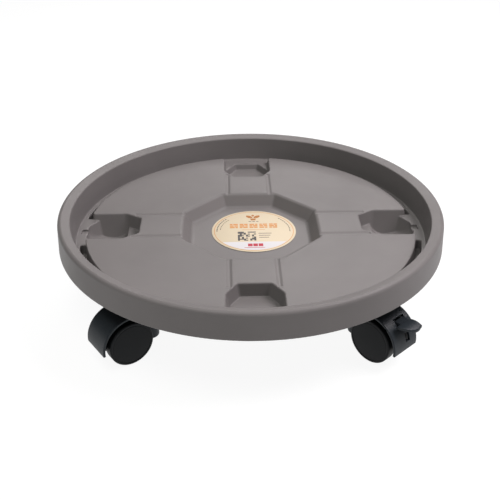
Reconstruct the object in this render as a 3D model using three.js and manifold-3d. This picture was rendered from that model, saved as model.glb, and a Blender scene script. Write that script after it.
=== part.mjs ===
// Round plant pot caddy: a moulded tray on four twin-wheel swivel casters, two of them with a brake.
// Millimetres, +Z up. The origin is on the floor, under the middle of the tray. +Y is the back.
import * as THREE from "three";
import { ConvexGeometry } from "three/addons/geometries/ConvexGeometry.js";
import { mergeVertices } from "three/addons/utils/BufferGeometryUtils.js";
import Module from "manifold-3d";

const wasm = await Module();
wasm.setup();

// ---- driving dimensions -------------------------------------------------------------------------

const GAP = 0.3; // clearance where two pieces touch

// heights above the floor
const LIP_Z = 90;
const PLATE_Z = 70.5; // the face that the pot stands on
const SKIRT_Z = 65; // lower edge of the rim's outer skirt
const LEDGE_Z = PLATE_Z - 6.2; // narrow ledge round the foot of the rim
const OCTAGON_Z = PLATE_Z - 12; // floor of the middle recess
const POCKET_Z = PLATE_Z - 12.5; // floor of the four pockets
const MOAT_Z = PLATE_Z - 16; // floor of the water channel

// tray plan
const WALL = 2.4;
const RIM_R = 175;
const SKIRT_FLARE = 0.9;
const LIP_INNER_R = 164.1;
const LIP_ROUND = 3.5;
const LIP_FALL = 2; // the lip's top slopes down to the inside
const LIP_EDGE = 0.8;
const LEDGE_OUTER_R = 161.3;
const LEDGE_INNER_R = 157.5;
const PLATE_R = 152;
const PLATE_EDGE = 0.6;
const MOAT_HALF_BREAK = 27; // the channel stops this far each side of a pocket's middle
const OCTAGON_TOP = 63; // half the width across the flats
const OCTAGON_FLOOR = 55;
const GROOVE_X = 20.8;
const GROOVE_WIDTH = 3;
const GROOVE_DEPTH = 1;

// the outline of half a pocket, as [half width, distance from the tray's middle]
const POCKET_MOUTH = [[14.4, 102.9], [24, 117.7], [24, 149.4]];
const POCKET_STEP = [[14.1, 103.7], [22.6, 117.7], [22.6, 149.4]];
const BASIN_MOUTH = [[14.1, 103.7], [22, 117.6], [22, 132], [12.5, 148]];
const BASIN_FLOOR = [[13.8, 104.3], [20.5, 117.5], [20.5, 131], [11.5, 146]];

// trough across the floor of the left and right pockets, steeper on its inner side
const TROUGH_Y = 129.8; // its lowest line, from the tray's middle
const TROUGH_AXIS_Z = 62;
const TROUGH_R = 14.7;
const TROUGH_OUTER_R = 22.2;
const TROUGH_Z = 46; // where the walls beside it end, just below it
const TROUGH_MOUTH = [[14.1, 103.7], [22, 117.6], [22, 144], [10, 152]];
const TROUGH_FLOOR = [[13.2, 105.6], [18.6, 117.2], [18.6, 140], [8, 147]];

const DRAIN_START = 149;
const DRAIN_HALF_WIDTH = 4.2; // slot through the side pockets' outer ledge
const DRAIN_DEPTH = 2.5;

// label
const LABEL_R = 39.8;
const LABEL_MIDDLE = [3.3, 7];

// caster places and bosses
const CASTER_XY = 90.5;
const BOSS_R = 12.5;
const BOSS_Z = 48.4;
const RIB_THICKNESS = 2.4;
const RIB_HALF_LENGTH = 66; // of the ribs across the bosses
const RIB_Z = 58;

// caster, in its own frame: swivel axis on Z, wheels trailing along +X, axle along Y
const TRAIL = 24.6;
const WHEEL_R = 20.2;
const CASTER_HALF_WIDTH = 15;
const WHEEL_INNER_Y = 6;
const HOOD_R = 26.6;
const HOOD_THICKNESS = 2.2;
const HOOD_START = -6; // degrees round the axle, from straight behind
const HOOD_END = 128;
const WEB_HALF_WIDTH = 5.2;
const NECK_R = 8.3;
const NECK_Z = 12.2;
const NECK_TOP_Z = 44.8;
const STEM_R = 4;
const STEM_Z = 23;
const STEM_TOP_Z = 65.2;
const SLEEVE_R = 6.7;
const SLEEVE_TOP_Z = 66;
const SLEEVE_FLANGE_R = 9;
const SLEEVE_FLANGE_Z = 46.7;
const AXLE_R = 2.5;
const AXLE_HALF_LENGTH = 13.2;

// brake pedal, hinged inside the back of the hood
const PEDAL_Y = 3; // the pedal's hub and the slot below it sit a little to one side
const PIVOT_R = 24.1; // from the axle
const PIVOT_ANGLE = 52;
const PIN_R = 1;
const PEDAL_HUB_R = 2;
const PEDAL_HUB_HALF = 5.8;
const EAR_R = 2.6;
const EAR_THICKNESS = 3.4;
const PAD_THICKNESS = 2.4;
const PAD_RISE = 0.6; // the pad's underside above the pivot, at its root
const PAD_ROOT_X = 20.6; // from the axle, just clear of the hood
const PAD_FAN = [[26, -6.8], [30.2, -3.6], [33, 0.6], [34, 5], [33, 10.6]];
const PAD_OUTLINE = [[PAD_ROOT_X, -9], ...PAD_FAN, [PAD_ROOT_X, 9.4]];
const PAD_ARCH_R = 11.5; // the pad is arched from its root to its outer edge
const PAD_ARCH_X = 25.6;
const TOE_ANGLES = [33, 41];
const TOE_R = 22.2;
const TOE_HALF = 11.5;
const WINDOW_ANGLES = [40, 60];
const SLOT_HALF_WIDTH = 2.6;
const SLOT_ANGLES = [11, 28];

// the way each caster points at rest, in degrees from +X
const CASTERS = [
  { name: "front_left", x: -1, y: -1, heading: 213.5, brake: false },
  { name: "front_right", x: 1, y: -1, heading: -47.4, brake: true },
  { name: "rear_right", x: 1, y: 1, heading: 62, brake: false },
  { name: "rear_left", x: -1, y: 1, heading: 151, brake: true },
];

const MATERIALS = {
  tray: new THREE.MeshStandardMaterial({ color: 0x8b8683, roughness: 0.5, metalness: 0 }),
  label: new THREE.MeshStandardMaterial({ color: 0xf3e6c8, roughness: 0.4, metalness: 0 }),
  housing: new THREE.MeshStandardMaterial({ color: 0x26282b, roughness: 0.4, metalness: 0 }),
  wheel: new THREE.MeshStandardMaterial({ color: 0x141516, roughness: 0.45, metalness: 0 }),
  steel: new THREE.MeshStandardMaterial({ color: 0xb4b6b8, roughness: 0.3, metalness: 1 }),
};

// ---- solids and helpers -------------------------------------------------------------------------

const rad = THREE.MathUtils.degToRad;

// turns a closed three.js geometry into a solid, without the zero-area faces at a lathe's axis
function solid(geometry) {
  geometry.deleteAttribute("normal");
  geometry.deleteAttribute("uv");
  const merged = mergeVertices(geometry, 1e-4);
  const index = merged.index.array;
  const faces = [];
  for (let i = 0; i < index.length; i += 3) {
    const [a, b, c] = [index[i], index[i + 1], index[i + 2]];
    if (a !== b && b !== c && c !== a) faces.push(a, b, c);
  }
  const vertProperties = new Float32Array(merged.attributes.position.array);
  const triVerts = new Uint32Array(faces);
  return new wasm.Manifold(new wasm.Mesh({ numProp: 3, vertProperties, triVerts }));
}

function toGeometry(body) {
  const mesh = body.getMesh();
  const geometry = new THREE.BufferGeometry();
  geometry.setAttribute("position", new THREE.BufferAttribute(mesh.vertProperties, 3));
  geometry.setIndex(new THREE.BufferAttribute(mesh.triVerts, 1));
  return geometry;
}

// a body of revolution about Z from [radius, height] points, which start and end on the axis or close
function turned(points, segments) {
  const profile = points.map(([r, z]) => new THREE.Vector2(r, z));
  return solid(new THREE.LatheGeometry(profile, segments).rotateX(Math.PI / 2));
}

function ring(rInner, rOuter, z0, z1, segments) {
  return turned([[rInner, z0], [rOuter, z0], [rOuter, z1], [rInner, z1], [rInner, z0]], segments);
}

function rod(r, z0, z1, segments = 32) {
  return turned([[0, z0], [r, z0], [r, z1], [0, z1]], segments);
}

// a round bar along Y, centred on (x, z)
function crossBar(r, x, z, y0, y1, segments = 24) {
  const bar = new THREE.CylinderGeometry(r, r, y1 - y0, segments);
  return solid(bar.translate(x, (y0 + y1) / 2, z));
}

function block(x0, x1, y0, y1, z0, z1) {
  const box = new THREE.BoxGeometry(x1 - x0, y1 - y0, z1 - z0);
  return solid(box.translate((x0 + x1) / 2, (y0 + y1) / 2, (z0 + z1) / 2));
}

function hull(points) {
  return solid(new ConvexGeometry(points.map(([x, y, z]) => new THREE.Vector3(x, y, z))));
}

// an outline in the XZ plane made into a plate from y0 to y1
function plateXZ(outline, y0, y1) {
  const shape = new THREE.Shape(outline.map(([x, z]) => new THREE.Vector2(x, z)));
  const plate = new THREE.ExtrudeGeometry(shape, { depth: y1 - y0, bevelEnabled: false });
  return solid(plate.rotateX(Math.PI / 2).translate(0, y1, 0));
}

function turn(body, degrees) {
  return body.rotate([0, 0, degrees]);
}

function joined(bodies) {
  return bodies.reduce((whole, body) => whole.add(body));
}

// points of an arc round (x, z), as [x, z]
function arc(x, z, r, startDegrees, endDegrees, steps) {
  const points = [];
  for (let i = 0; i <= steps; i += 1) {
    const angle = rad(startDegrees + ((endDegrees - startDegrees) * i) / steps);
    points.push([x + r * Math.cos(angle), z + r * Math.sin(angle)]);
  }
  return points;
}

// ---- tray ---------------------------------------------------------------------------------------

const TRAY_SEGMENTS = 64;

// rim, ledge and plate in one shell, without the recesses
function trayShell() {
  const lipCentre = LIP_Z - LIP_ROUND;
  const outerRound = arc(RIM_R - LIP_ROUND, lipCentre, LIP_ROUND, 0, 90, 3);
  const lipInnerZ = LIP_Z - LIP_FALL;
  const under = LEDGE_Z - WALL;
  const plateUnder = PLATE_Z - WALL;
  const plateWallInner = PLATE_R + PLATE_EDGE - WALL;
  return turned([
    [RIM_R + SKIRT_FLARE - WALL, SKIRT_Z],
    [RIM_R + SKIRT_FLARE, SKIRT_Z],
    ...outerRound,
    [LIP_INNER_R + LIP_EDGE, lipInnerZ],
    [LIP_INNER_R, lipInnerZ - LIP_EDGE],
    [LEDGE_OUTER_R, LEDGE_Z],
    [PLATE_R + PLATE_EDGE, LEDGE_Z],
    [PLATE_R + PLATE_EDGE, PLATE_Z - 2 * PLATE_EDGE],
    [PLATE_R - PLATE_EDGE, PLATE_Z],
    [0, PLATE_Z],
    [0, plateUnder],
    [plateWallInner, plateUnder],
    [plateWallInner, under],
    [LEDGE_OUTER_R + WALL, under],
    [LIP_INNER_R + WALL + LIP_EDGE, lipInnerZ - WALL],
    [RIM_R - LIP_ROUND, LIP_Z - WALL],
    [RIM_R - WALL, lipCentre - 0.5],
    [RIM_R + SKIRT_FLARE - WALL, SKIRT_Z],
  ], TRAY_SEGMENTS);
}

// four arcs of a ring, broken at each pocket
function brokenRing(rInner, rOuter, z0, z1, halfBreak) {
  const bar = block(-halfBreak, halfBreak, -200, 200, z0 - 1, z1 + 1);
  return ring(rInner, rOuter, z0, z1, TRAY_SEGMENTS).subtract(bar).subtract(turn(bar, 90));
}

function octagonAt(halfFlats, z) {
  const halfSide = halfFlats * Math.tan(Math.PI / 8);
  const points = [];
  for (const [x, y] of [[halfSide, halfFlats], [halfFlats, halfSide]]) {
    points.push([x, y, z], [-x, y, z], [x, -y, z], [-x, -y, z]);
  }
  return points;
}

function octagonCup(topHalf, topZ, floorHalf, floorZ) {
  return hull([...octagonAt(topHalf, topZ), ...octagonAt(floorHalf, floorZ)]);
}

// both halves of a pocket outline at one height, grown outwards by a wall
function outlineAt(outline, z, grow = 0) {
  const points = [];
  outline.forEach(([x, y], i) => {
    const end = i === outline.length - 1 ? 1 : -1;
    points.push([x + grow, -y - end * grow, z], [-x - grow, -y - end * grow, z]);
  });
  return points;
}

// the trough's room, or with a wall given the shell round it
function trough(wall) {
  const inner = arc(TROUGH_Y, TROUGH_AXIS_Z, TROUGH_R + wall, 90, 270, 16);
  const outer = arc(0, 0, 1, -90, 90, 16).slice(1, -1).map(([along, up]) => [
    TROUGH_Y + (TROUGH_OUTER_R + wall) * along,
    TROUGH_AXIS_Z + (TROUGH_R + wall) * up,
  ]);
  const half = TROUGH_MOUTH[1][0] + wall;
  const walls = hull([
    ...outlineAt(TROUGH_MOUTH, wall > 0 ? LEDGE_Z - 1 : LEDGE_Z + 0.5, wall),
    ...outlineAt(TROUGH_FLOOR, TROUGH_Z - wall, wall),
  ]);
  return turn(plateXZ([...inner, ...outer], -half, half), -90).intersect(walls);
}

function pocketCup(hasTrough) {
  const upper = hull([
    ...outlineAt(POCKET_MOUTH, PLATE_Z - 0.6, WALL),
    ...outlineAt(POCKET_STEP, LEDGE_Z - WALL, WALL),
  ]);
  const lower = hull([
    ...outlineAt(BASIN_MOUTH, LEDGE_Z - 1, WALL),
    ...outlineAt(BASIN_FLOOR, POCKET_Z - WALL, WALL),
  ]);
  return joined([upper, lower, ...(hasTrough ? [trough(WALL)] : [])]);
}

// the room in a pocket, open towards the rim at ledge height
function pocketSpace(hasTrough) {
  const toRim = (outline) => [...outline.slice(0, 2), [outline[2][0], 170]];
  const insideRim = [[0, LEDGE_Z], [LEDGE_OUTER_R, LEDGE_Z], [LIP_INNER_R, LIP_Z], [0, LIP_Z]];
  const upper = hull([
    ...outlineAt(toRim(POCKET_MOUTH), PLATE_Z + 2),
    ...outlineAt(toRim(POCKET_MOUTH), PLATE_Z),
    ...outlineAt(toRim(POCKET_STEP), LEDGE_Z),
  ]).intersect(turned(insideRim, TRAY_SEGMENTS));
  const basin = hull([...outlineAt(BASIN_MOUTH, LEDGE_Z + 0.5), ...outlineAt(BASIN_FLOOR, POCKET_Z)]);
  return joined([upper, basin, ...(hasTrough ? [trough(0)] : [])]);
}

// two shallow grooves from the middle recess to a pocket
function grooves() {
  const outer = POCKET_MOUTH[0][1] + 8;
  const inner = OCTAGON_TOP - 2;
  const half = GROOVE_WIDTH / 2;
  const bottom = PLATE_Z - GROOVE_DEPTH;
  const strip = (x) => block(x - half, x + half, -outer, -inner, bottom, PLATE_Z + 2);
  return strip(-GROOVE_X).add(strip(GROOVE_X));
}

// notch from a side pocket to the rim, or with a wall given the shell round it
function drain(wall) {
  const half = DRAIN_HALF_WIDTH + wall;
  const top = wall > 0 ? LEDGE_Z - 1 : LEDGE_Z + 1;
  const bottom = LEDGE_Z - DRAIN_DEPTH - wall;
  return block(DRAIN_START - wall, LEDGE_INNER_R + wall, -half, half, bottom, top);
}

function bossesAndRibs() {
  const middle = CASTER_XY * Math.SQRT2;
  const boss = rod(BOSS_R, BOSS_Z, PLATE_Z - 1, 28).translate([middle, 0, 0]);
  const half = RIB_THICKNESS / 2;
  const radial = block(OCTAGON_FLOOR + 4, PLATE_R - 1, -half, half, RIB_Z, PLATE_Z - 1);
  const across = block(middle - half, middle + half, -RIB_HALF_LENGTH, RIB_HALF_LENGTH, RIB_Z, PLATE_Z - 1);
  return joined([boss, radial, across]);
}

function tray() {
  let body = trayShell();
  const moatOuter = LEDGE_INNER_R + WALL;
  const moatEnd = MOAT_HALF_BREAK - WALL;
  const moatInner = PLATE_R + PLATE_EDGE;
  body = body.add(brokenRing(moatInner - WALL, moatOuter, MOAT_Z - WALL, LEDGE_Z - 1, moatEnd));
  body = body.add(octagonCup(OCTAGON_TOP + 2, PLATE_Z - 1, OCTAGON_FLOOR + 1.5, OCTAGON_Z - WALL));
  for (const quarter of [0, 90, 180, 270]) {
    body = body.add(turn(pocketCup(quarter % 180 === 90), quarter));
    body = body.add(turn(bossesAndRibs(), quarter + 45));
  }
  for (const side of [0, 180]) body = body.add(turn(drain(WALL), side));
  body = body.subtract(brokenRing(moatInner, LEDGE_INNER_R, MOAT_Z, PLATE_Z, MOAT_HALF_BREAK));
  body = body.subtract(octagonCup(OCTAGON_TOP + 4 / 3, PLATE_Z + 2, OCTAGON_FLOOR, OCTAGON_Z));
  for (const quarter of [0, 90, 180, 270]) {
    body = body.subtract(turn(pocketSpace(quarter % 180 === 90), quarter));
    body = body.subtract(turn(grooves(), quarter));
  }
  for (const side of [0, 180]) body = body.subtract(turn(drain(0), side));
  const bore = rod(SLEEVE_R + GAP, BOSS_Z - 1, SLEEVE_TOP_Z + 0.6, 24);
  for (const { x, y } of CASTERS) {
    body = body.subtract(bore.translate([x * CASTER_XY, y * CASTER_XY, 0]));
  }
  return body;
}

// a thin printed paper disc, stuck a little off the middle of the recess
function label() {
  return rod(LABEL_R, OCTAGON_Z + GAP, OCTAGON_Z + GAP + 0.4, 40).translate([...LABEL_MIDDLE, 0]);
}

// ---- caster -------------------------------------------------------------------------------------

// plastic sleeve pressed up into the tray's boss
function sleeve() {
  return turned([
    [STEM_R + 0.8, SLEEVE_FLANGE_Z],
    [SLEEVE_FLANGE_R, SLEEVE_FLANGE_Z],
    [SLEEVE_FLANGE_R, BOSS_Z - GAP],
    [SLEEVE_R, BOSS_Z - GAP],
    [SLEEVE_R, SLEEVE_TOP_Z],
    [STEM_R + 0.8, SLEEVE_TOP_Z],
    [STEM_R + 0.8, SLEEVE_FLANGE_Z],
  ], 24);
}

const RING_Z = 60;
const RING_HEIGHT = 1.6;

// steel pin that the caster swivels on, with a collar under the sleeve and a groove for its ring
function stem() {
  const grooveR = STEM_R - 0.9;
  return turned([
    [0, STEM_Z],
    [STEM_R, STEM_Z],
    [STEM_R, NECK_TOP_Z + GAP],
    [STEM_R + 2, NECK_TOP_Z + GAP],
    [STEM_R + 2, SLEEVE_FLANGE_Z - GAP],
    [STEM_R, SLEEVE_FLANGE_Z - GAP],
    [STEM_R, RING_Z - GAP],
    [grooveR, RING_Z - GAP],
    [grooveR, RING_Z + RING_HEIGHT + GAP],
    [STEM_R, RING_Z + RING_HEIGHT + GAP],
    [STEM_R, STEM_TOP_Z - 1.2],
    [STEM_R - 1.2, STEM_TOP_Z],
    [0, STEM_TOP_Z],
  ], 16);
}

// split spring ring that grips the stem in its sleeve
function gripRing() {
  const whole = ring(STEM_R - 0.6, STEM_R + 0.5, RING_Z, RING_Z + RING_HEIGHT, 16);
  return whole.subtract(block(0, 10, -0.8, 0.8, RING_Z - 1, RING_Z + RING_HEIGHT + 1));
}

const PIVOT_X = TRAIL + PIVOT_R * Math.cos(rad(PIVOT_ANGLE));
const PIVOT_Z = WHEEL_R + PIVOT_R * Math.sin(rad(PIVOT_ANGLE));

// a curved band round the axle, between two radii and two angles
function bandOutline(rInner, rOuter, start, end, steps = 4) {
  const outer = arc(TRAIL, WHEEL_R, rOuter, start, end, steps);
  return [...outer, ...arc(TRAIL, WHEEL_R, rInner, end, start, steps)];
}

// curved cover over the wheels
function hood() {
  const outline = bandOutline(HOOD_R - HOOD_THICKNESS, HOOD_R, HOOD_START, HOOD_END, 14);
  return plateXZ(outline, -CASTER_HALF_WIDTH, CASTER_HALF_WIDTH);
}

// middle wall between the wheels, from the neck to the hood, round the axle
function web() {
  const inside = HOOD_R - 1;
  return plateXZ([
    [0, NECK_Z + 3],
    [TRAIL - 9, WHEEL_R - 6],
    ...arc(TRAIL, WHEEL_R, 7.5, 220, 330, 6),
    ...arc(TRAIL, WHEEL_R, inside, 0, 120, 8),
    [0, NECK_TOP_Z - 2],
  ], -WEB_HALF_WIDTH, WEB_HALF_WIDTH);
}

function housing(brake) {
  const neck = turned([
    [0, NECK_Z],
    [NECK_R - 1, NECK_Z],
    [NECK_R, NECK_Z + 1],
    [NECK_R, NECK_TOP_Z],
    [0, NECK_TOP_Z],
  ], 24);
  let body = joined([hood(), web(), neck]);
  if (brake) body = body.add(ears());
  const room = WHEEL_R + 0.7;
  for (const [y0, y1] of [[WEB_HALF_WIDTH + GAP, 20], [-20, -WEB_HALF_WIDTH - GAP]]) {
    body = body.subtract(crossBar(room, TRAIL, WHEEL_R, y0, y1, 36));
  }
  body = body.subtract(rod(STEM_R + 0.5, STEM_Z - 1, NECK_TOP_Z + 1, 16));
  body = body.subtract(crossBar(AXLE_R + GAP, TRAIL, WHEEL_R, -10, 10, 14));
  return brake ? body.subtract(brakeOpenings()) : body;
}

// two lugs under the hood that hold the pedal's pin
function ears() {
  const inner = PEDAL_HUB_HALF + 0.6;
  const outer = inner + EAR_THICKNESS;
  const near = crossBar(EAR_R, PIVOT_X, PIVOT_Z, PEDAL_Y - outer, PEDAL_Y - inner, 16);
  return near.add(crossBar(EAR_R, PIVOT_X, PIVOT_Z, PEDAL_Y + inner, PEDAL_Y + outer, 16));
}

// the pin's bore, a window for the pedal's hub and arm, room for its toe, and the slot below it
function brakeOpenings() {
  const half = PEDAL_HUB_HALF + 0.6;
  const bore = crossBar(PIN_R + GAP, PIVOT_X, PIVOT_Z, -20, 20, 12);
  const hubRoom = crossBar(PEDAL_HUB_R + 1, PIVOT_X, PIVOT_Z, PEDAL_Y - half, PEDAL_Y + half, 16);
  const deep = WHEEL_R - 0.5;
  const windowOutline = bandOutline(deep, HOOD_R + 1.5, ...WINDOW_ANGLES);
  const window = plateXZ(windowOutline, PEDAL_Y - half, PEDAL_Y + half);
  const toeOutline = bandOutline(deep, HOOD_R - HOOD_THICKNESS, TOE_ANGLES[0] - 3, TOE_ANGLES[1] + 5);
  const toeRoom = plateXZ(toeOutline, -TOE_HALF - 0.5, TOE_HALF + 0.5);
  const slotOutline = bandOutline(deep, HOOD_R + 2, ...SLOT_ANGLES);
  const slot = plateXZ(slotOutline, PEDAL_Y - SLOT_HALF_WIDTH, PEDAL_Y + SLOT_HALF_WIDTH);
  return joined([bore, hubRoom, window, toeRoom, slot]);
}

function axle() {
  const pin = turned([
    [0, -AXLE_HALF_LENGTH],
    [AXLE_R - 0.5, -AXLE_HALF_LENGTH],
    [AXLE_R, 0.5 - AXLE_HALF_LENGTH],
    [AXLE_R, AXLE_HALF_LENGTH - 0.5],
    [AXLE_R - 0.5, AXLE_HALF_LENGTH],
    [0, AXLE_HALF_LENGTH],
  ], 14);
  return pin.rotate([90, 0, 0]).translate([TRAIL, 0, WHEEL_R]);
}

// a cup-shaped wheel with a closed outer face: side is 1 for the +Y wheel and -1 for the other
function wheel(side) {
  const outer = CASTER_HALF_WIDTH;
  const web = outer - 2.2;
  const boreR = AXLE_R + GAP;
  const profile = [
    [boreR, 5.7],
    [5.8, 5.7],
    [5.8, web],
    [16.4, web],
    [16.4, WHEEL_INNER_Y],
    [WHEEL_R, WHEEL_INNER_Y],
    [WHEEL_R, outer - 0.9],
    [WHEEL_R - 0.9, outer],
    [0, outer],
    [0, AXLE_HALF_LENGTH + 0.4],
    [boreR, AXLE_HALF_LENGTH + 0.4],
    [boreR, 5.7],
  ];
  return turned(profile, 28).rotate([-90 * side, 0, 0]).translate([TRAIL, 0, WHEEL_R]);
}

// foot pad, hub, and an arm through the hood with a toe bar across both wheels' treads
function pedal() {
  const half = PEDAL_HUB_HALF;
  const hub = crossBar(PEDAL_HUB_R, PIVOT_X, PIVOT_Z, PEDAL_Y - half, PEDAL_Y + half, 16);
  const arm = plateXZ([
    [PIVOT_X - 1.2, PIVOT_Z],
    ...arc(TRAIL, WHEEL_R, TOE_R, 48, TOE_ANGLES[0] + 1, 3),
    ...arc(TRAIL, WHEEL_R, HOOD_R - HOOD_THICKNESS - 0.5, TOE_ANGLES[0] + 1, 43, 2),
    [PIVOT_X + 1.6, PIVOT_Z - 0.6],
  ], PEDAL_Y - half, PEDAL_Y + half);
  const toeOutline = bandOutline(TOE_R, HOOD_R - HOOD_THICKNESS - 0.5, ...TOE_ANGLES, 2);
  const toe = plateXZ(toeOutline, -TOE_HALF, TOE_HALF);
  const bore = crossBar(PIN_R + GAP, PIVOT_X, PIVOT_Z, -20, 20, 12);
  return joined([hub, footPad(), arm, toe]).subtract(bore);
}

// arched foot pad shaped like a fan, with a narrow root that reaches the hub
function footPad() {
  const rootX = TRAIL + PAD_ROOT_X;
  const rootZ = PIVOT_Z + PAD_RISE;
  const [nearSide, farSide] = [PEDAL_Y - PEDAL_HUB_HALF, PEDAL_Y + PEDAL_HUB_HALF];
  const root = block(PIVOT_X, rootX + 1, nearSide, farSide, rootZ, rootZ + PAD_THICKNESS);
  const shape = new THREE.Shape(PAD_OUTLINE.map(([x, y]) => new THREE.Vector2(TRAIL + x, y)));
  const column = solid(new THREE.ExtrudeGeometry(shape, { depth: NECK_TOP_Z, bevelEnabled: false }));
  const x = TRAIL + PAD_ARCH_X;
  const z = rootZ - Math.sqrt(PAD_ARCH_R ** 2 - (x - rootX) ** 2);
  const top = arc(x, z, PAD_ARCH_R + PAD_THICKNESS, 25, 125, 10);
  const under = arc(x, z, PAD_ARCH_R, 125, 25, 10);
  return plateXZ([...top, ...under], -20, 20).intersect(column).add(root);
}

function pedalPin() {
  const half = PEDAL_HUB_HALF + 0.6 + EAR_THICKNESS - 0.3;
  return crossBar(PIN_R, PIVOT_X, PIVOT_Z, PEDAL_Y - half, PEDAL_Y + half, 12);
}

// ---- assembly -----------------------------------------------------------------------------------

function piece(name, body, material) {
  const mesh = new THREE.Mesh(toGeometry(body), MATERIALS[material]);
  mesh.name = name;
  return mesh;
}

// sleeve, stem and ring stay with the tray; the rest turns as the caster swivels
function caster({ name, x, y, heading, brake }) {
  const place = new THREE.Group();
  place.position.set(x * CASTER_XY, y * CASTER_XY, 0);
  place.add(piece(`stem_sleeve_${name}`, sleeve(), "housing"));
  place.add(piece(`swivel_stem_${name}`, stem(), "steel"));
  place.add(piece(`grip_ring_${name}`, gripRing(), "steel"));
  const swivel = new THREE.Group();
  swivel.rotation.z = rad(heading);
  swivel.add(piece(`caster_housing_${name}`, housing(brake), "housing"));
  swivel.add(piece(`axle_${name}`, axle(), "steel"));
  swivel.add(piece(`wheel_a_${name}`, wheel(1), "wheel"));
  swivel.add(piece(`wheel_b_${name}`, wheel(-1), "wheel"));
  if (brake) {
    swivel.add(piece(`brake_pedal_${name}`, pedal(), "housing"));
    swivel.add(piece(`pedal_pin_${name}`, pedalPin(), "steel"));
  }
  place.add(swivel);
  return place;
}

const caddy = new THREE.Group();
caddy.add(piece("tray", tray(), "tray"));
caddy.add(piece("label", label(), "label"));
for (const spec of CASTERS) caddy.add(caster(spec));

export default caddy;
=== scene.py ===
"""Looks of the plant pot caddy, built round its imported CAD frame.

Blender works in metres, +Z up, with -Y to the front. The moulded pieces are written as distance
fields in millimetres: a field is negative inside the piece, and round_both and round_either join
two fields with an edge rounded to the radius that is their last argument, as a mould has.
surface() turns a field into a mesh.
"""

import math

import bpy
import numpy as np
from mathutils import Matrix, Vector


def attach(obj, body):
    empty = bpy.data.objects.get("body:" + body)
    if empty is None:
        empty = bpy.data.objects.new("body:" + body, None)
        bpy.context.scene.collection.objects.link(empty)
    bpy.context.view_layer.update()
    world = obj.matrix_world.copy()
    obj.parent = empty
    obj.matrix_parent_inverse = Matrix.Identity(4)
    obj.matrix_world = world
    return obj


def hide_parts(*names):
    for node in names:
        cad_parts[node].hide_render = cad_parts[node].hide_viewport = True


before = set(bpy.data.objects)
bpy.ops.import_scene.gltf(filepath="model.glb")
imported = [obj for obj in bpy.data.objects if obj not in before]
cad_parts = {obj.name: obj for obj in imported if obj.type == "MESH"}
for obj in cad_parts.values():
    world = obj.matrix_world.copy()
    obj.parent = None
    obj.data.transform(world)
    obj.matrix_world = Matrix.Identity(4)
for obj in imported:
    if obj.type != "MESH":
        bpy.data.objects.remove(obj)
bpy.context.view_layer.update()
MM = 0.001

# values of a field where a piece has no say
FAR_INSIDE = -10.0
FAR_OUTSIDE = 9.0

# ---- driving dimensions, in millimetres, shared with the CAD unless noted ----------------------

# tray, heights above the floor
LIP_Z = 90
PLATE_Z = 70.5  # the face that the pot stands on
SKIRT_Z = 65
LEDGE_Z = PLATE_Z - 6.2
OCTAGON_Z = PLATE_Z - 12
POCKET_Z = PLATE_Z - 12.5
MOAT_Z = PLATE_Z - 16
BORE_TOP_Z = 66.6
RIB_Z = 58
BOSS_Z = 48.4
TRAY_LOW_Z = 42  # the tray's mesh is looked for above this

# tray, plan
WALL = 2.4
RIM_R = 175
SKIRT_FROM_R = 168  # outside this there is only the lip and the skirt
SKIRT_FLARE = 0.042  # how far the skirt leans out for each millimetre down
LIP_ROUND = 3.5
LIP_FALL = 0.3  # how far the lip's top drops for each millimetre inwards
LIP_WIDTH = 9  # of the sloping part, to just past the lip's inner edge
LIP_INNER_R = 164.1
LEDGE_OUTER_R = 161.3
MOAT_OUTER_R = 157.5
PLATE_R = 152
MOAT_HALF_BREAK = 25.2  # less than the CAD's, because the channel's ends are rounded here
OCTAGON_TOP = 63  # half the width across the flats
OCTAGON_FLOOR = 55
OCTAGON_SQUARE = 0.832  # turns a level distance into one square to the recess's sloping wall
GROOVE_X = 20.8
GROOVE_R = 2.4  # the print of a round rod with its axis above the plate, square in the CAD
GROOVE_RISE = 1.5
GROOVE_ENDS = (58, 108.5)
NOTCH_START = 147  # slot from a side pocket to the rim, 2 longer than the CAD's
NOTCH_HALF_WIDTH = 4.2
NOTCH_DEPTH = 2.5
BOSS_R = 12.5
BORE_R = 7.0
SKIN_OVERLAP = 1.3  # bosses and ribs stop this far below the tray's top face
RIB_HALF_THICKNESS = 1.2
RIB_ENDS = (57, 152)  # a little longer than the CAD's, into the walls
RIB_HALF_LENGTH = 66

# pockets, as (distance from the middle line, distance from the tray's middle)
POCKET_MOUTH = [(0, 102.9), (14.4, 102.9), (24, 117.7), (24, 149.4)]
POCKET_FOOT = [(13.8, 104.3), (20.5, 117.5), (20.5, 131)]
POCKET_END = 157
POCKET_MIDDLE = (0, 125, 66)  # a point in every pocket, with its height

# sloping walls below the ledge: two points at its height and one at the wall's foot
BASIN_CORNER = [(22, 132), (12.5, 148), (11.5, 146)]
BASIN_END = [(12.5, 148), (0, 148), (0, 146)]
TROUGH_CORNER = [(22, 144), (10, 152), (8, 147)]
TROUGH_Y = 129.8
TROUGH_AXIS_Z = 62
TROUGH_R = 14.7
TROUGH_OUTER_R = 22.2
TROUGH_Z = 46

# label
LABEL_R = 39.8
LABEL_MIDDLE = (3.3, 7.0)
LABEL_GAP = 0.3
LABEL_FACE = 0.27  # the ink's height above the paper's underside
INK_THICKNESS = 0.03
SIGN_LIFT = 0.05  # the red sign is printed over the pale foot

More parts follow.
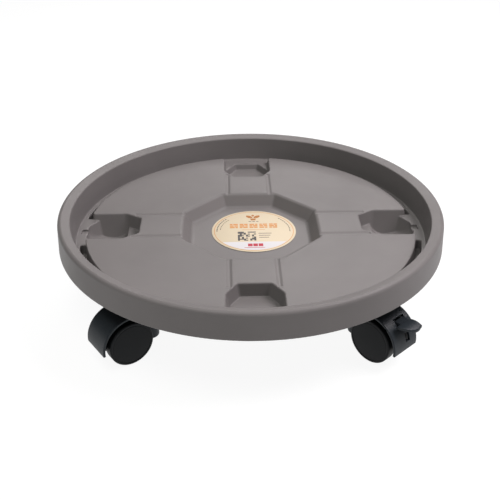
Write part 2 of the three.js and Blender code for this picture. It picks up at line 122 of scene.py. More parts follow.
# caster, in its own frame: swivel axis on Z, wheels trailing along +X
CASTER_XY = 90.5
TRAIL = 24.6
WHEEL_R = 20.2
WHEEL_ROOM = 0.7  # clearance round a wheel
WHEEL_ROOM_Y = 5.5
WHEEL_INNER_Y = 6
WHEEL_CUP_R = 16.4
WHEEL_HUB_R = 5.8
WHEEL_HUB_Y = 5.7
CASTER_HALF_WIDTH = 15
HOOD_R = 26.6
HOOD_THICKNESS = 2.2
WEB_R = 25.6
WEB_BEHIND_Z = 17
WEB_FRONT_Z = (15, 42.6)
WEB_HUB_R = 7.5
WEB_HALF_WIDTH = 5.2
NECK_R = 8.3
NECK_Z = 12.2
NECK_TOP_Z = 44.8
STEM_R = 4
STEM_GAP = 0.5
STEM_HOLE_Z = 22
AXLE_R = 2.5
AXLE_BORE_R = 2.8
AXLE_HALF_LENGTH = 13.2
HOUSING_BOX = ((-10, -17, 10), (54, 17, 49))  # the housing's mesh is looked for in here

# brake pedal
PEDAL_Y = 3
PIVOT_R = 24.1
PIVOT_ANGLE = 52
PIVOT_X = TRAIL + PIVOT_R * math.cos(math.radians(PIVOT_ANGLE))
PIVOT_Z = WHEEL_R + PIVOT_R * math.sin(math.radians(PIVOT_ANGLE))
PEDAL_HUB_HALF = 5.8
PEDAL_HUB_R = 2
PEDAL_GAP = 0.6
PIN_R = 1
PIN_BORE_R = 1.3
PIN_HALF_LENGTH = 9.5
EAR_R = 2.6
EAR_SPAN = (6.4, 9.8)
SLOT_HALF_WIDTH = 2.6
TOE_HALF = 11.5
TOE_ROOM_HALF = 12
TOE_BAND = (22.2, 23.9)  # inner and outer radius round the axle
PEDAL_BOX = ((34, -13, 28), (61, 17, 45))

# the foot pad from above, measured from the axle: a disc, cut by two straight edges that are
# given as a point and the direction square to the edge
FAN_X = 20.6
FAN_Y = 4.6
FAN_R = 13.2
FAN_OUTER_EDGE = ((33.8, 4.6), (0.989, 0.148))
FAN_FAR_EDGE = ((33, 10.6), (-0.096, 0.995))
PAD_ARCH_X = 25.6
PAD_ARCH_DROP = 9.76
PAD_ARCH = (11.5, 13.9)  # inner and outer radius
ROOT_END = 22
ROOT_SPAN = (0.6, 3.0)  # heights above the pivot

# starts and ends round the axle, in degrees from straight behind
HOOD_ANGLES = (-6, 128)
WINDOW_ANGLES = (40, 60)
TOE_ROOM_ANGLES = (30, 46)
SLOT_ANGLES = (11, 28)
ARM_ANGLES = (34, 50)
TOE_ANGLES = (33, 41)

# turned pieces, as (radius, height) points
SLEEVE_PROFILE = [
    (4.8, 46.7), (8.6, 46.7), (9, 47.1), (9, 47.8), (8.7, 48.1), (6.7, 48.1), (6.7, 66), (4.8, 66),
]
STEM_PROFILE = [
    (0, 23), (4, 23), (4, 45.1), (5.7, 45.1), (6, 45.4), (6, 46.1), (5.7, 46.4), (4, 46.4),
    (4, 59.7), (3.1, 59.7), (3.1, 61.9), (4, 61.9), (4, 64), (2.8, 65.2), (0, 65.2),
]
LABEL_PROFILE = [
    (0, 0), (LABEL_R - 0.1, 0), (LABEL_R, 0.05), (LABEL_R, 0.2), (LABEL_R - 0.1, 0.25), (0, 0.25),
]

# the side each caster stands on, and the way it points at rest in degrees from +X
CASTERS = {
    "front_left": (-1, -1, 213.5),
    "front_right": (1, -1, -47.4),
    "rear_right": (1, 1, 62),
    "rear_left": (-1, 1, 151),
}
BRAKED = ("front_right", "rear_left")

# ---- camera and stage --------------------------------------------------------------------------

CAMERA_ELEVATION = 30.31
CAMERA_TURN = -1.78
CAMERA_DISTANCE = 0.74815
CAMERA_LENS = 58.34
AIM_LEFT = 0.00055
AIM_DOWN = 0.03861

WORLD_STRENGTH = 0.12
FLOOR_HALF_SIZE = 6
FLOOR_DROP = 0.0002  # keeps the floor just clear of the wheels
FLOOR_SHADE = 0.08
FLOOR_GLOW = 0.92
LIGHT_AIM = Vector((0, 0, 0.06))

# name, place, diameter, power and colour
SOFTBOXES = [
    ("softbox_right", (0.75, -0.05, 1.05), 0.7, 18.5, (1, 0.95, 0.985)),
    ("softbox_back", (0.15, 1.0, 0.9), 0.8, 7, (1, 0.99, 0.98)),
    ("softbox_front", (-0.35, -0.5, 1.45), 0.9, 13.5, (0.985, 1, 0.965)),
]


def add_camera():
    """A long lens from in front and above, turned a little, aimed just under the tray's middle."""
    elevation = math.radians(CAMERA_ELEVATION)
    turn = math.radians(CAMERA_TURN)
    back = Vector((
        math.sin(turn) * math.cos(elevation),
        -math.cos(turn) * math.cos(elevation),
        math.sin(elevation),
    ))
    right = Vector((math.cos(turn), math.sin(turn), 0))
    up = back.cross(right)
    rim_middle = Vector((0, 0, (LIP_Z - LIP_ROUND) * MM))
    aim = rim_middle - AIM_LEFT * right - AIM_DOWN * up
    camera = bpy.data.objects.new("camera", bpy.data.cameras.new("camera"))
    camera.data.sensor_width = 36
    camera.data.lens = CAMERA_LENS
    camera.data.clip_start = 0.01
    camera.data.clip_end = 50
    rotation = Matrix((right, up, back)).transposed().to_4x4()
    camera.matrix_world = Matrix.Translation(aim + back * CAMERA_DISTANCE) @ rotation
    bpy.context.scene.collection.objects.link(camera)
    bpy.context.scene.camera = camera


def add_light(name, spot, size, power, colour):
    light = bpy.data.lights.new(name, "AREA")
    light.shape = "DISK"
    light.size = size
    light.energy = power
    light.color = colour
    lamp = bpy.data.objects.new(name, light)
    lamp.location = spot
    lamp.rotation_euler = (Vector(spot) - LIGHT_AIM).to_track_quat("Z", "Y").to_euler()
    bpy.context.scene.collection.objects.link(lamp)


def add_stage():
    """A white studio: a glowing floor in a dim, even white world, and three soft boxes above."""
    scene = bpy.context.scene
    scene.view_settings.view_transform = "Standard"
    world = bpy.data.worlds.new("studio")
    world.use_nodes = True
    background = world.node_tree.nodes["Background"]
    background.inputs["Color"].default_value = (1, 1, 1, 1)
    background.inputs["Strength"].default_value = WORLD_STRENGTH
    scene.world = world

    size = FLOOR_HALF_SIZE
    corners = [(-size, -size, 0), (size, -size, 0), (size, size, 0), (-size, size, 0)]
    mesh = bpy.data.meshes.new("floor")
    mesh.from_pydata(corners, [], [(0, 1, 2, 3)])
    floor = bpy.data.objects.new("floor", mesh)
    floor.location.z = -FLOOR_DROP
    material = bpy.data.materials.new("floor")
    material.use_nodes = True
    shader = material.node_tree.nodes["Principled BSDF"]
    shader.inputs["Base Color"].default_value = (FLOOR_SHADE, FLOOR_SHADE, FLOOR_SHADE, 1)
    shader.inputs["Roughness"].default_value = 0.7
    shader.inputs["Emission Color"].default_value = (1, 1, 1, 1)
    shader.inputs["Emission Strength"].default_value = FLOOR_GLOW
    mesh.materials.append(material)
    scene.collection.objects.link(floor)

    for softbox in SOFTBOXES:
        add_light(*softbox)


# ---- distance fields ---------------------------------------------------------------------------


def round_both(a, b, r):
    """The part that is in both fields, with an outer edge of radius r."""
    corner = np.sqrt(np.maximum(a + r, 0) ** 2 + np.maximum(b + r, 0) ** 2)
    return np.minimum(-r, np.maximum(a, b)) + corner


def round_either(a, b, r):
    """The part that is in either field, with an inner edge of radius r."""
    corner = np.sqrt(np.maximum(r - a, 0) ** 2 + np.maximum(r - b, 0) ** 2)
    return np.maximum(r, np.minimum(a, b)) - corner


def between(value, low, high):
    """The room between two values."""
    return np.abs(value - (low + high) / 2) - (high - low) / 2


def beyond(edge, u, v):
    """How far a place is past a straight edge, given as a point and the direction square to it."""
    (edge_u, edge_v), (du, dv) = edge
    return du * (u - edge_u) + dv * (v - edge_v)


def facing(points, inside, u, v, z):
    """The half space behind the plane through three points that holds the point inside."""
    p, q, s = (np.array(point, float) for point in points)
    normal = np.cross(q - p, s - p)
    normal /= np.linalg.norm(normal)
    if normal @ (np.array(inside) - p) > 0:
        normal = -normal
    return normal[0] * u + normal[1] * v + (normal[2] * z - normal @ p)


# ---- from a field to a mesh --------------------------------------------------------------------

LEAST_SLOPE = 0.3  # of the field, squared, so that flat places do not throw a point far
LONGEST_MOVE = 0.4


def slopes(field, points, reach=0.02):
    """The field's gradient at points, by central differences."""
    found = np.empty_like(points)
    for axis in range(3):
        step = np.zeros(3)
        step[axis] = reach
        high = (points + step).T
        low = (points - step).T
        found[:, axis] = (field(*high) - field(*low)) / (2 * reach)
    return found


def surface_net(field, low, high, step):
    """Corners and four-sided faces of the field's zero surface, a corner for each crossed cell."""
    axes = [np.arange(a, b + step, step, dtype=np.float32) for a, b in zip(low, high)]
    x, y, z = axes[0][:, None, None], axes[1][None, :, None], axes[2][None, None, :]
    values = np.asarray(field(x, y, z), np.float32)
    inside = values < 0
    corners = [(i, j, k) for i in (0, 1) for j in (0, 1) for k in (0, 1)]
    cells = tuple(n - 1 for n in inside.shape)
    filled = np.zeros(cells, np.int8)
    for i, j, k in corners:
        filled += inside[i:i + cells[0], j:j + cells[1], k:k + cells[2]]
    crossed = (filled > 0) & (filled < 8)
    where = np.argwhere(crossed)
    at_corner = {c: values[tuple((where + c).T)] for c in corners}
    total = np.zeros((len(where), 3))
    count = np.zeros(len(where))
    for a in corners:
        for axis in range(3):
            if a[axis]:
                continue
            b = tuple(1 if n == axis else a[n] for n in range(3))
            crosses = (at_corner[a] < 0) != (at_corner[b] < 0)
            gap = np.where(crosses, at_corner[a] - at_corner[b], 1)
            share = at_corner[a] / gap
            point = np.array(a, float)[None, :].repeat(len(where), 0)
            point[:, axis] += share
            total += point * crosses[:, None]
            count += crosses
    start = np.array([axis[0] for axis in axes], float)
    points = start + step * (where + total / count[:, None])

    number = np.full(cells, -1, np.int32)
    number[crossed] = np.arange(len(where))
    faces = []
    for axis in range(3):
        others = [n for n in range(3) if n != axis]
        first = np.take(inside, range(inside.shape[axis] - 1), axis)
        second = np.take(inside, range(1, inside.shape[axis]), axis)
        edges = np.argwhere(first != second)
        sideways = edges[:, others]
        edges = edges[(sideways > 0).all(1) & (sideways < [cells[n] for n in others]).all(1)]
        ring = []
        for da, db in ((0, 0), (1, 0), (1, 1), (0, 1)):
            cell = edges.copy()
            cell[:, others[0]] -= da
            cell[:, others[1]] -= db
            ring.append(number[tuple(cell.T)])
        ring = np.stack(ring, 1)
        flip = inside[tuple(edges.T)] == (axis == 1)
        ring[flip] = ring[flip][:, ::-1]
        faces.append(ring)
    return points, np.concatenate(faces)


def settle(field, points, rounds=2):
    """Moves points on to the field's zero surface."""
    for _ in range(rounds):
        slope = slopes(field, points)
        length = np.maximum((slope ** 2).sum(1), LEAST_SLOPE)
        move = -(field(*points.T) / length)[:, None] * slope
        points = points + np.clip(move, -LONGEST_MOVE, LONGEST_MOVE)
    return points


def surface(name, field, low, high, step, keep):
    """A smooth mesh of the field's zero surface, thinned by edge collapse to the share keep."""
    points, faces = surface_net(field, low, high, step)
    points = settle(field, points)
    mesh = bpy.data.meshes.new(name)
    mesh.from_pydata((points * MM).tolist(), [], faces.tolist())
    thin = bpy.data.objects.new(name, mesh)
    bpy.context.scene.collection.objects.link(thin)
    thinner = thin.modifiers.new("thin", "DECIMATE")
    thinner.ratio = keep
    bpy.context.view_layer.update()
    graph = bpy.context.evaluated_depsgraph_get()
    thinned = bpy.data.meshes.new_from_object(thin.evaluated_get(graph))
    bpy.data.objects.remove(thin)
    bpy.data.meshes.remove(mesh)
    thinned.name = name

    flat = np.empty(len(thinned.vertices) * 3)
    thinned.vertices.foreach_get("co", flat)
    points = settle(field, flat.reshape(-1, 3) / MM, 1)
    thinned.vertices.foreach_set("co", (points * MM).ravel())
    thinned.polygons.foreach_set("use_smooth", [True] * len(thinned.polygons))
    normals = slopes(field, points)
    normals /= np.maximum(np.linalg.norm(normals, axis=1), 1e-9)[:, None]
    thinned.normals_split_custom_set_from_vertices(normals.tolist())
    thinned.update()
    return thinned


# ---- tray --------------------------------------------------------------------------------------


def fold(x, y):
    """The distance from the nearer axis and the one along it: the tray is the same on all four."""
    return np.minimum(np.abs(x), np.abs(y)), np.maximum(np.abs(x), np.abs(y))


def pocket_void(u, v, z, at_side):
    """The room between a pocket's side walls, and the whole room of the pocket.

    u is the distance from its middle line and v the distance from the tray's middle.
    """
    def wall(a, b, foot, top_z, foot_z):
        return facing([(*a, top_z), (*b, top_z), (*foot, foot_z)], POCKET_MIDDLE, u, v, z)

    walls = [
        wall(a, b, foot, PLATE_Z, POCKET_Z)
        for a, b, foot in zip(POCKET_MOUTH, POCKET_MOUTH[1:], POCKET_FOOT)
    ]
    sides = round_both(round_both(walls[0], walls[1], 1.2), walls[2], 1.2)
    corner = wall(*BASIN_CORNER, LEDGE_Z, POCKET_Z)
    end = wall(*BASIN_END, LEDGE_Z, POCKET_Z)
    basin = round_both(round_both(corner, end, 1.2), POCKET_Z - z, 0.8)

    stretch = np.where(v > TROUGH_Y, TROUGH_R / TROUGH_OUTER_R, 1)
    trough = np.hypot((v - TROUGH_Y) * stretch, z - TROUGH_AXIS_Z) - TROUGH_R
    trough = round_both(trough, wall(*TROUGH_CORNER, LEDGE_Z, TROUGH_Z), 1.2)
    basin = np.where(at_side, round_either(basin, trough, 0.7), basin)
    shelf = round_either(LEDGE_Z - z, basin, 0.9)
    return sides, round_both(sides, shelf, 0.8)


def tray_skin(x, y, z):
    """The tray as if it were solid below its top face: its top faces and its outer skirt."""
    r = np.hypot(x, y)
    u, v = fold(x, y)
    skirt = r - RIM_R - SKIRT_FLARE * np.maximum(LIP_Z - LIP_ROUND - z, 0)
    fall = LIP_FALL * np.clip(RIM_R - LIP_ROUND - r, 0, LIP_WIDTH)
    rim = round_both(skirt, z - LIP_Z + fall, LIP_ROUND)
    lean = (LIP_INNER_R - LEDGE_OUTER_R) / (LIP_Z - LEDGE_Z)
    rim_wall = r - LEDGE_OUTER_R - lean * (z - LEDGE_Z)
    dish = round_both(rim_wall, LEDGE_Z - z, 1.0)

    at_side = np.abs(x) > np.abs(y)
    pocket_sides, pocket = pocket_void(u, v, z, at_side)
    plate = round_both(round_both(r - PLATE_R, -pocket_sides, 3.0), z - PLATE_Z, 1.1)
    void = round_both(dish, -plate, 0.8)
    void = np.minimum(void, np.maximum(pocket, v - POCKET_END))

    moat_plan = round_both(between(r, PLATE_R, MOAT_OUTER_R), MOAT_HALF_BREAK - u, 2.4)
    moat = round_both(moat_plan, MOAT_Z - z, 1.5)
    void = round_either(void, moat, 0.8)

    rise = z - OCTAGON_Z
    half = OCTAGON_FLOOR + rise * (OCTAGON_TOP - OCTAGON_FLOOR) / (PLATE_Z - OCTAGON_Z)
    flat_wall = (v - half) * OCTAGON_SQUARE
    slant_wall = ((u + v) / math.sqrt(2) - half) * OCTAGON_SQUARE
    octagon = round_both(round_both(flat_wall, slant_wall, 0.8), OCTAGON_Z - z, 2.0)
    void = round_either(void, octagon, 1.8)

    groove = np.hypot(u - GROOVE_X, z - PLATE_Z - GROOVE_RISE) - GROOVE_R
    groove = np.maximum(groove, np.maximum(GROOVE_ENDS[0] - v, v - GROOVE_ENDS[1]))
    void = round_either(void, groove, 1.0)

    notch = round_both(between(v, NOTCH_START, MOAT_OUTER_R), u - NOTCH_HALF_WIDTH, 1.2)
    notch = round_both(notch, LEDGE_Z - NOTCH_DEPTH - z, 0.8)
    notch = np.where(at_side, notch, FAR_OUTSIDE)
    void = round_either(void, notch, 0.6)
    return round_both(rim, -void, 0.9)


def tray_field(x, y, z):
    """The tray: a skin of even thickness, with bosses and ribs underneath."""
    skin = tray_skin(x, y, z)
    u, v = fold(x, y)
    body = np.maximum(skin, -skin - WALL)
    skirt_end = np.where(np.hypot(x, y) > SKIRT_FROM_R, SKIRT_Z - z, FAR_INSIDE)
    body = round_both(body, skirt_end, 0.9)

    boss_r = np.hypot(u - CASTER_XY, v - CASTER_XY)
    boss = round_both(boss_r - BOSS_R, BOSS_Z - z, 0.7)
    body = round_either(body, np.maximum(boss, z - (PLATE_Z - SKIN_OVERLAP)), 1.2)
    along = (u + v) / math.sqrt(2)
    across = (v - u) / math.sqrt(2)
    middle = CASTER_XY * math.sqrt(2)
    half = RIB_HALF_THICKNESS
    radial = np.maximum(across - half, between(along, *RIB_ENDS))
    cross = np.maximum(between(along, middle - half, middle + half), across - RIB_HALF_LENGTH)
    ribs = round_both(np.minimum(radial, cross), RIB_Z - z, 0.5)
    body = round_either(body, np.maximum(ribs, skin + SKIN_OVERLAP), 1.0)
    bore = np.maximum(boss_r - BORE_R, z - BORE_TOP_Z)
    return round_both(body, -bore, 0.5)


# ---- caster pieces, in the caster's own frame --------------------------------------------------


def axle_polar(x, z):
    return np.hypot(x - TRAIL, z - WHEEL_R)


def pin_polar(x, z):
    return np.hypot(x - PIVOT_X, z - PIVOT_Z)


def wedge(x, z, start, end):
    """The room between two angles round the axle, in degrees from straight behind."""
    s, e = math.radians(start), math.radians(end)
    after = (x - TRAIL) * math.sin(s) - (z - WHEEL_R) * math.cos(s)
    before = (z - WHEEL_R) * math.cos(e) - (x - TRAIL) * math.sin(e)
    return np.maximum(after, before)


def housing_field(x, y, z, brake):
    """Hood over the wheels, middle wall and upright neck, moulded as one."""
    rho = axle_polar(x, z)
    inner = HOOD_R - HOOD_THICKNESS
    hood = round_both(between(rho, inner, HOOD_R), np.abs(y) - CASTER_HALF_WIDTH, 0.7)
    hood = round_both(hood, wedge(x, z, *HOOD_ANGLES), 0.6)
    behind = np.maximum(rho - WEB_R, WEB_BEHIND_Z - z)
    front = np.maximum(between(x, 0, TRAIL), between(z, *WEB_FRONT_Z))
    web = np.minimum(np.minimum(behind, front), rho - WEB_HUB_R)
    web = round_both(web, np.abs(y) - WEB_HALF_WIDTH, 0.5)
    neck = round_both(np.hypot(x, y) - NECK_R, between(z, NECK_Z, NECK_TOP_Z), 1.0)
    body = round_either(round_either(hood, web, 1.0), neck, 1.4)
    if brake:
        ears = np.maximum(pin_polar(x, z) - EAR_R, between(np.abs(y - PEDAL_Y), *EAR_SPAN))
        body = round_either(body, ears, 0.6)
    room = np.maximum(rho - WHEEL_R - WHEEL_ROOM, WHEEL_ROOM_Y - np.abs(y))
    body = round_both(body, -room, 0.35)
    stem_room = np.maximum(np.hypot(x, y) - STEM_R - STEM_GAP, STEM_HOLE_Z - z)
    body = np.maximum(body, -stem_room)
    body = np.maximum(body, AXLE_BORE_R - rho)
    if not brake:
        return body

    deep = WHEEL_R - 0.5  # a cut this deep goes right through the hood
    near_hub = np.abs(y - PEDAL_Y) - PEDAL_HUB_HALF - PEDAL_GAP
    window = np.maximum(round_both(wedge(x, z, *WINDOW_ANGLES), near_hub, 0.8), deep - rho)
    toe_room = np.maximum(wedge(x, z, *TOE_ROOM_ANGLES), between(rho, deep, inner))
    toe_room = np.maximum(toe_room, np.abs(y) - TOE_ROOM_HALF)
    slot = round_both(wedge(x, z, *SLOT_ANGLES), np.abs(y - PEDAL_Y) - SLOT_HALF_WIDTH, 0.6)
    slot = np.maximum(slot, deep - rho)
    body = round_both(body, -window, 0.4)
    body = np.maximum(body, -toe_room)
    body = round_both(body, -slot, 0.3)
    return np.maximum(body, PIN_BORE_R - pin_polar(x, z))


def pedal_field(x, y, z):
    """An arched, fan-shaped foot pad on a hub, with an arm through the hood to a toe bar."""
    back = x - TRAIL
    disc = np.hypot(back - FAN_X, y - FAN_Y) - FAN_R
    fan = np.minimum(disc, np.maximum(beyond(FAN_OUTER_EDGE, back, y), FAN_Y - y))
    fan = np.maximum(fan, np.maximum(beyond(FAN_FAR_EDGE, back, y), FAN_X - back))
    arch = np.hypot(back - PAD_ARCH_X, z - PIVOT_Z + PAD_ARCH_DROP)
    pad = round_both(fan, between(arch, *PAD_ARCH), 0.7)

    root_low, root_high = (PIVOT_Z + height for height in ROOT_SPAN)
    root = np.maximum(between(x, PIVOT_X, TRAIL + ROOT_END), between(z, root_low, root_high))
    hub = pin_polar(x, z) - PEDAL_HUB_R
    band = between(axle_polar(x, z), *TOE_BAND)
    arm = np.maximum(band, wedge(x, z, *ARM_ANGLES))
    lever = round_either(round_either(hub, root, 0.7), arm, 0.7)
    lever = round_both(lever, np.abs(y - PEDAL_Y) - PEDAL_HUB_HALF, 0.3)
    toe = round_both(np.maximum(band, wedge(x, z, *TOE_ANGLES)), np.abs(y) - TOE_HALF, 0.4)
    body = round_either(round_either(lever, pad, 0.8), toe, 0.3)
    return np.maximum(body, PIN_BORE_R - pin_polar(x, z))


# ---- turned pieces -----------------------------------------------------------------------------

ON_AXIS_R = 1e-6  # a smaller radius counts as a point on the axis


def turned(name, profile, segments=96):
    """A closed body of revolution about Z from (radius, height) points in millimetres."""
    points = []
    faces = []
    rings = []
    for r, z in profile:
        if r < ON_AXIS_R:
            rings.append([len(points)] * segments)
            points.append((0, 0, z * MM))
            continue
        rings.append(list(range(len(points), len(points) + segments)))
        for n in range(segments):
            angle = 2 * math.pi * n / segments
            points.append((r * math.cos(angle) * MM, r * math.sin(angle) * MM, z * MM))
    closed = profile[0][0] > ON_AXIS_R
    pairs = list(zip(rings, rings[1:])) + ([(rings[-1], rings[0])] if closed else [])
    for a, b in pairs:
        for n in range(segments):
            m = (n + 1) % segments
            corners = [a[n], a[m], b[m], b[n]]
            faces.append(list(dict.fromkeys(corners)))
    mesh = bpy.data.meshes.new(name)
    mesh.from_pydata(points, [], faces)
    mesh.set_sharp_from_angle(angle=math.radians(32))
    mesh.polygons.foreach_set("use_smooth", [True] * len(mesh.polygons))
    mesh.update()
    return mesh


def softened(corners, radius, steps=3):
    """The same outline with its corners rounded: corners are (radius, height) points, ends kept."""
    outline = [corners[0]]
    for before, corner, after in zip(corners, corners[1:], corners[2:]):
        p, c, q = Vector(before), Vector(corner), Vector(after)
        reach = min(radius, (p - c).length * 0.45, (q - c).length * 0.45)
        start = c + (p - c).normalized() * reach
        end = c + (q - c).normalized() * reach
        for n in range(steps + 1):
            t = n / steps
            point = start * (1 - t) ** 2 + c * 2 * t * (1 - t) + end * t ** 2
            outline.append(tuple(point))
    outline.append(corners[-1])
    return outline


def wheel_mesh():
    """A cup-shaped wheel with a closed outer face and a fine ring near its edge, axis on Z."""
    outer = CASTER_HALF_WIDTH
    web = outer - 2.2
    ring_floor = outer - 0.3
    face = outer - 0.05
    hole_end = outer - 1.4
    corners = [
        (AXLE_BORE_R, WHEEL_HUB_Y),
        (WHEEL_HUB_R, WHEEL_HUB_Y),
        (WHEEL_HUB_R, web),
        (WHEEL_CUP_R, web),
        (WHEEL_CUP_R, WHEEL_INNER_Y),
        (WHEEL_R, WHEEL_INNER_Y),
        (WHEEL_R, outer - 0.5),
        (WHEEL_R - 0.9, outer),
        (WHEEL_R - 2.0, outer),
        (WHEEL_R - 2.3, ring_floor),
        (WHEEL_R - 2.8, ring_floor),
        (WHEEL_R - 3.1, face),
        (0, face),
    ]
    return turned("wheel", softened(corners, 0.35) + [(0, hole_end), (AXLE_BORE_R, hole_end)])


def pin_mesh(name, radius, half_length, edge, segments):
    """A plain pin along Z with rounded ends."""
    corners = [(0, -half_length), (radius, -half_length), (radius, half_length), (0, half_length)]
    return turned(name, softened(corners, edge), segments)


# ---- materials ---------------------------------------------------------------------------------

EDGE_POINTINESS = (0.52, 0.62)  # from unworn to fully worn


def moulded(name, colour, roughness, grain=0.25, variation=0.06, wear=0.12, specular=0.5):
    """A moulded plastic: fine grain, slow shade drift, a slightly brighter worn edge."""
    material = bpy.data.materials.new(name)
    material.use_nodes = True
    nodes = material.node_tree.nodes
    link = material.node_tree.links.new
    shader = nodes["Principled BSDF"]
    shader.inputs["Specular IOR Level"].default_value = specular
    coordinates = nodes.new("ShaderNodeTexCoord")

    def noise(scale, detail):
        texture = nodes.new("ShaderNodeTexNoise")
        texture.inputs["Scale"].default_value = scale
        texture.inputs["Detail"].default_value = detail
        link(coordinates.outputs["Object"], texture.inputs["Vector"])
        return texture.outputs["Fac"]

    shade = nodes.new("ShaderNodeValToRGB")
    stops = shade.color_ramp.elements
    for stop, position, change in ((stops[0], 0.3, -variation), (stops[1], 0.7, variation)):
        stop.position = position
        stop.color = (*[c * (1 + change) for c in colour], 1)
    link(noise(14, 4), shade.inputs["Fac"])

    shape = nodes.new("ShaderNodeNewGeometry")
    edge = nodes.new("ShaderNodeMapRange")
    edge.inputs["From Min"].default_value = EDGE_POINTINESS[0]
    edge.inputs["From Max"].default_value = EDGE_POINTINESS[1]
    edge.inputs["To Max"].default_value = wear
    link(shape.outputs["Pointiness"], edge.inputs["Value"])
    worn = nodes.new("ShaderNodeMix")
    worn.data_type = "RGBA"
    link(edge.outputs["Result"], worn.inputs["Factor"])
    link(shade.outputs["Color"], worn.inputs["A"])
    worn.inputs["B"].default_value = (*[min(1, c * 1.7 + 0.03) for c in colour], 1)
    link(worn.outputs["Result"], shader.inputs["Base Color"])

    polish = nodes.new("ShaderNodeMapRange")
    polish.inputs["To Min"].default_value = roughness - 0.06
    polish.inputs["To Max"].default_value = roughness + 0.08
    link(noise(60, 5), polish.inputs["Value"])
    link(polish.outputs["Result"], shader.inputs["Roughness"])

    bump = nodes.new("ShaderNodeBump")
    bump.inputs["Strength"].default_value = grain
    bump.inputs["Distance"].default_value = 0.0001
    link(noise(1600, 2), bump.inputs["Height"])
    link(bump.outputs["Normal"], shader.inputs["Normal"])
    return material


def plated(name, colour):
    """Zinc-plated steel: metallic, with a fine grain bump and a slightly brighter worn edge."""
    material = moulded(name, colour, 0.32, grain=0.5, variation=0.1, wear=0.3)
    shader = material.node_tree.nodes["Principled BSDF"]
    shader.inputs["Metallic"].default_value = 1
    return material


def printed(name, colour):
    """Ink or paper with a satin film over it."""
    return moulded(name, colour, 0.5, grain=0.12, variation=0.03, wear=0, specular=0.25)


# ---- label -------------------------------------------------------------------------------------


def flat_shapes(name, outlines, z):
    """Thin closed plates from outlines in millimetres round the label's middle, as one mesh."""
    points = []
    faces = []
    for outline in outlines:
        first = len(points)
        count = len(outline)
        for height in (z, z + INK_THICKNESS):
            for x, y in outline:
                spot = (x + LABEL_MIDDLE[0], y + LABEL_MIDDLE[1], height)
                points.append(tuple(value * MM for value in spot))
        faces.append([first + n for n in reversed(range(count))])
        faces.append([first + count + n for n in range(count)])
        for n in range(count):
            m = (n + 1) % count
            faces.append([first + n, first + m, first + count + m, first + count + n])
    mesh = bpy.data.meshes.new(name)
    mesh.from_pydata(points, [], faces)
    return mesh


def bar(x, y, width, height):
    return [(x - width / 2, y - height / 2), (x + width / 2, y - height / 2),
            (x + width / 2, y + height / 2), (x - width / 2, y + height / 2)]


def arc_points(radius, start, end, steps=48):
    angles = [math.radians(start + (end - start) * n / steps) for n in range(steps + 1)]
    return [(radius * math.cos(a), radius * math.sin(a)) for a in angles]


def potted_plant():
    """Two leaves and a bud over a tapered pot."""
    leaf = [(0.4, 24.6), (4.4, 25.2), (6.6, 27.6), (6.4, 30.4), (3.2, 29.8), (1, 27.6)]
    mirrored = [(-x, y) for x, y in reversed(leaf)]
    bud = [(0, 27.8), (1.5, 30), (0, 32.2), (-1.5, 30)]
    pot = [(-2.9, 23.8), (-2, 20.4), (2, 20.4), (2.9, 23.8)]
    return [leaf, mirrored, bud, pot]


def title_tiles():
    """Five tiles of three rows, each row a pair of plain bars, over one long thin bar."""
    pitch, half, filled, height = 9.4, 3.8, 6.9, 2.2
    tiles = []
    for n in range(5):
        x = pitch * n - 18.8
        for row in range(3):
            y = 12.2 - 3 * row
            left = 2.6 + (n + row) % 3
            right = filled - left
            tiles.append(bar(x - half + left / 2, y, left, height))
            tiles.append(bar(x + half - right / 2, y, right, height))
    return tiles + [bar(-0.4, 1.6, 22, 0.6)]


def block_pattern():
    """A square of nine by nine blocks, some left out by a rule, so that it codes nothing."""
    size = 1.9
    return [
        bar(size * column - 14.4, -3.1 - size * row, size, size)
        for column in range(9) for row in range(9)
        if (3 * column * column + 5 * row * row + 7 * column * row + column) % 11 < 6
    ]


def curved_marks(radius, half, start, end):
    """Short plain marks along an arc, one every five degrees."""
    length = 3.4
    return [
        arc_points(radius + half, turn, turn + length, 3)
        + arc_points(radius - half, turn + length, turn, 3)
        for turn in range(start, end, 5)
    ]


def dark_marks():
    lines = [bar(10.4 - 0.6 * row, -5.6 - 3.9 * row, 12.4 - 1.6 * row, 0.9) for row in range(3)]
    caption = [bar(x, 17.9, width, 0.9) for x, width in ((-3.2, 2.6), (0.4, 2.6), (4, 2.2))]
    small_print = []
    for marks in ((34.9, 0.5, 138, 182), (31.8, 0.3, 138, 178), (34.2, 0.4, -4, 44)):
        small_print += curved_marks(*marks)
    return [*block_pattern(), *lines, *caption, *small_print]


# ---- building ----------------------------------------------------------------------------------


def place(mesh, name, body, nodes, material, matrix=None):
    """Puts a piece where it stands at rest, riding on its body in place of the CAD nodes."""
    piece = bpy.data.objects.new(name, mesh)
    bpy.context.scene.collection.objects.link(piece)
    if matrix is not None:
        piece.matrix_world = matrix
    if not mesh.materials:
        mesh.materials.append(material)
    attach(piece, body)
    if nodes:
        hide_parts(*nodes)


def build_tray(material):
    step = 0.85
    reach = RIM_R + 4
    low = (-reach, -reach, TRAY_LOW_Z)
    high = (reach, reach, LIP_Z + 3)
    mesh = surface("tray", tray_field, low, high, step, keep=0.3)
    place(mesh, "tray_moulding", "tray", ["tray"], material)


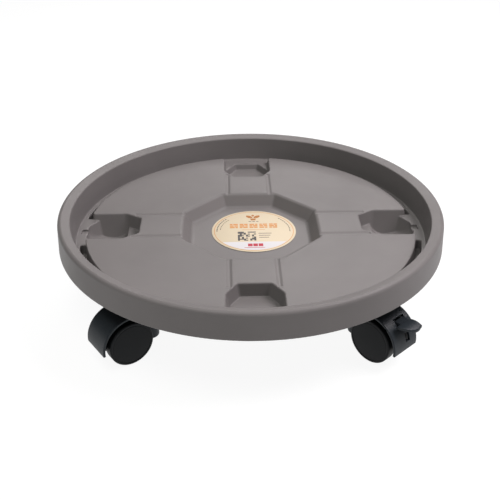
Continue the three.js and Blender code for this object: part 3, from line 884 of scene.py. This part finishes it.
def build_label():
    paper = printed("paper", (0.49, 0.415, 0.3))
    orange = printed("orange_ink", (0.46, 0.19, 0.045))
    brown = printed("brown_ink", (0.3, 0.11, 0.02))
    white = printed("white_ink", (0.48, 0.465, 0.475))
    red = printed("red_ink", (0.34, 0.02, 0.035))
    dark = printed("dark_ink", (0.05, 0.045, 0.045))
    z = OCTAGON_Z + LABEL_GAP
    disc = turned("label_paper", LABEL_PROFILE, 128)
    matrix = Matrix.Translation((LABEL_MIDDLE[0] * MM, LABEL_MIDDLE[1] * MM, z * MM))
    place(disc, "label_paper", "tray", ["label"], paper, matrix)

    top = z + LABEL_FACE
    ring = arc_points(37.7, 0, 360, 96) + arc_points(37.2, 360, 0, 96)
    foot = arc_points(36.6, 216, 324)
    sign = [bar(x, -27.4, 4.2, 5) for x in (-4.2, 0.7, 5.6)] + [bar(-0.2, -32.1, 18.8, 0.7)]
    artwork = {
        "label_ring": ([ring, *title_tiles()], orange, top),
        "label_plant": (potted_plant(), brown, top),
        "label_foot": ([foot], white, top),
        "label_code": (dark_marks(), dark, top),
        "label_sign": (sign, red, top + SIGN_LIFT),
    }
    for name, (outlines, ink, height) in artwork.items():
        place(flat_shapes(name, outlines, height), name, "tray", [], ink)


def caster_meshes():
    """One mesh for each kind of caster piece, shared by the four casters."""
    step = 0.45

    def housing(name, brake):
        def field(x, y, z):
            return housing_field(x, y, z, brake)
        return surface(name, field, *HOUSING_BOX, step, keep=0.5)

    return {
        "plain": housing("housing", False),
        "brake": housing("housing_brake", True),
        "pedal": surface("pedal", pedal_field, *PEDAL_BOX, step * 0.8, keep=0.6),
        "wheel": wheel_mesh(),
        "axle": pin_mesh("axle", AXLE_R, AXLE_HALF_LENGTH, 0.5, 48),
        "pin": pin_mesh("pedal_pin", PIN_R, PIN_HALF_LENGTH, 0.3, 32),
        "sleeve": turned("sleeve", SLEEVE_PROFILE, 64),
        "stem": turned("stem", STEM_PROFILE, 64),
    }


def build_casters(black, wheel_black, steel):
    meshes = caster_meshes()
    along_y = Matrix.Rotation(math.radians(-90), 4, "X")
    for name, (side_x, side_y, heading) in CASTERS.items():
        stand = Matrix.Translation((side_x * CASTER_XY * MM, side_y * CASTER_XY * MM, 0))
        swivel = stand @ Matrix.Rotation(math.radians(heading), 4, "Z")
        at_axle = swivel @ Matrix.Translation((TRAIL * MM, 0, WHEEL_R * MM)) @ along_y
        flipped = at_axle @ Matrix.Rotation(math.pi, 4, "X")
        brake = name in BRAKED
        caster = f"caster_{name}"
        place(meshes["sleeve"], f"sleeve_{name}", "tray",
              [f"stem_sleeve_{name}"], black, stand)
        place(meshes["stem"], f"stem_{name}", "tray",
              [f"swivel_stem_{name}"], steel, stand)
        place(meshes["brake" if brake else "plain"], f"housing_{name}", caster,
              [f"caster_housing_{name}"], black, swivel)
        place(meshes["axle"], f"axle_pin_{name}", caster,
              [f"axle_{name}"], steel, at_axle)
        for letter, matrix in (("a", at_axle), ("b", flipped)):
            node = f"wheel_{letter}_{name}"
            place(meshes["wheel"], f"tyre_{letter}_{name}", node,
                  [node], wheel_black, matrix)
        if brake:
            pivot = Matrix.Translation((PIVOT_X * MM, PEDAL_Y * MM, PIVOT_Z * MM))
            place(meshes["pedal"], f"pedal_{name}", f"brake_{name}",
                  [f"brake_pedal_{name}"], black, swivel)
            place(meshes["pin"], f"hinge_pin_{name}", caster,
                  [f"pedal_pin_{name}"], steel, swivel @ pivot @ along_y)
        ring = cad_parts[f"grip_ring_{name}"]
        ring.data.materials.clear()
        ring.data.materials.append(steel)


add_camera()
add_stage()
build_tray(moulded("tray_plastic", (0.133, 0.123, 0.121), 0.45, specular=0.18))
build_label()
build_casters(
    moulded("caster_plastic", (0.014, 0.018, 0.022), 0.42, wear=0, specular=0.22),
    moulded("wheel_plastic", (0.006, 0.007, 0.008), 0.5, wear=0.03, specular=0.14),
    plated("zinc", (0.62, 0.61, 0.58)),
)
